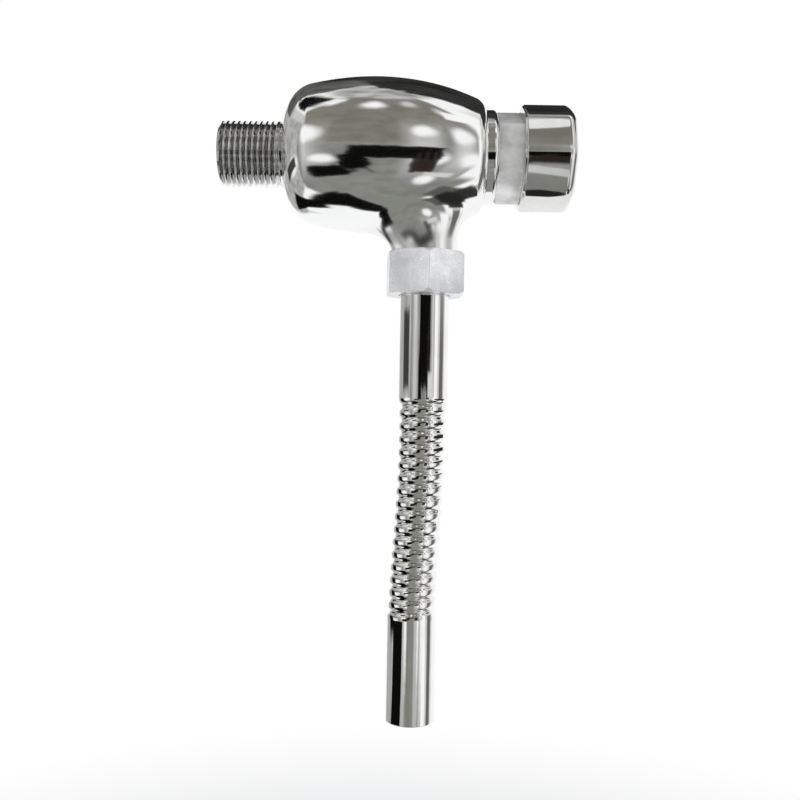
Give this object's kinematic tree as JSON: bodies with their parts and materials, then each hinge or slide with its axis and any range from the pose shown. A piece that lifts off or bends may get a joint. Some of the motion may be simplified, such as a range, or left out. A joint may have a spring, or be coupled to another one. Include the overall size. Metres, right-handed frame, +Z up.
{
  "type": "self-closing flush valve",
  "caption": "Chromed self-closing flush valve with a barrel body, threaded inlet, octagonal push button and a hand-bendable ribbed flush pipe hanging from its branch.",
  "frame": {"origin": "on the inlet thread's axis at the inlet end of the valve", "axes": "+X along the barrel towards the push button, +Z up, the flush pipe hangs along -Z"},
  "size_m": [0.1141, 0.0496, 0.2084],
  "materials": {
    "polished_chrome": "polished chrome plate on brass",
    "satin_chrome": "satin chrome plate on brass",
    "bare_brass": "turned brass",
    "stainless_steel": "drawn and ground",
    "black_rubber": "moulded nitrile rubber",
    "white_plastic": "turned acetal",
    "red_fibre": "vulcanised fibre"
  },
  "bodies": {
    "valve": {"valve_body": "polished_chrome", "bonnet": "satin_chrome", "bonnet_o_ring": "black_rubber", "cartridge_sleeve": "bare_brass", "sleeve_o_ring": "black_rubber", "sleeve_washer": "red_fibre", "spindle_guide": "bare_brass", "gland_o_rings": "black_rubber", "gland_nut": "bare_brass", "return_spring": "stainless_steel", "outlet_nut": "satin_chrome", "pipe_gasket": "black_rubber", "slip_ring": "white_plastic"},
    "push_button": {"button": "polished_chrome", "button_lock_nut": "bare_brass", "spindle": "stainless_steel", "piston": "white_plastic", "piston_cup_seal": "black_rubber", "piston_circlips": "stainless_steel", "valve_plug": "bare_brass", "plug_washer": "black_rubber", "plug_nut": "bare_brass"},
    "flush_pipe": {"pipe_upper": "polished_chrome", "pipe_bend_section": "polished_chrome"},
    "pipe_end": {"pipe_lower": "polished_chrome"}
  },
  "joints": [
    {"name": "button_press", "type": "slide", "parent": "valve", "child": "push_button", "axis": [-1, 0, 0], "range_m": [0, 0.0065], "stiffness_N_per_m": 1200, "springref_m": -0.0125, "deforming": ["return_spring"]},
    {"name": "pipe_swivel", "type": "hinge", "parent": "valve", "child": "flush_pipe", "pos_m": [0.0668, 0, -0.04], "axis": [0, 0, 1], "continuous": true},
    {"name": "pipe_bend", "type": "hinge", "parent": "flush_pipe", "child": "pipe_end", "pos_m": [0.0655, 0, -0.1143], "axis": [0, 1, 0], "range_deg": [-60, 60], "deforming": ["pipe_bend_section"]}
  ]
}
